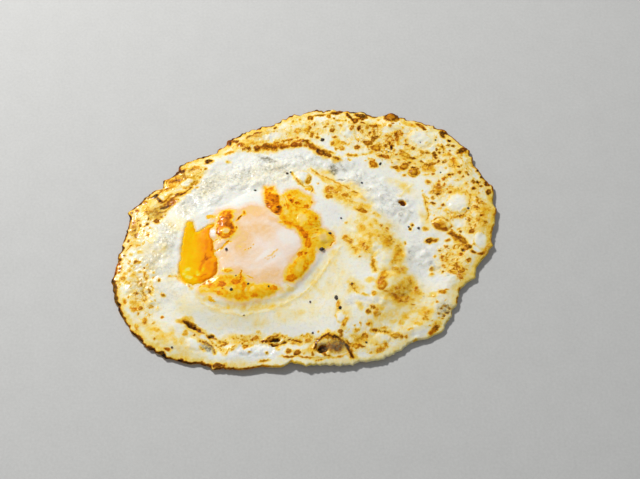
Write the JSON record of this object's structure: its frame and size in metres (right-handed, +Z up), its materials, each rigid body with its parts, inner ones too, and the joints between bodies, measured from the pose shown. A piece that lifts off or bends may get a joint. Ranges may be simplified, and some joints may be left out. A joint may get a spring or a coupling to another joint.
{
  "type": "fried egg",
  "caption": "Sunny-side-up fried egg with a thin, crisp, browned rim and a soft yolk set off-centre, for laying on a plate, toast or rice.",
  "frame": {"origin": "middle of the footprint, on the surface that the egg lies on", "axes": "+X along the egg's length, towards the wide lacy end; +Y across it; +Z up, yolk side up"},
  "size_m": [0.1404, 0.109, 0.0074],
  "materials": {
    "cooked_white": "cooked egg white, satin with an oily gloss, browned at the rim",
    "soft_yolk": "soft egg yolk, glossy, partly veiled by a thin film of white",
    "ground_pepper": "coarse ground black pepper"
  },
  "bodies": {
    "root": {"egg_white": "cooked_white", "yolk": "soft_yolk"}
  },
  "joints": []
}
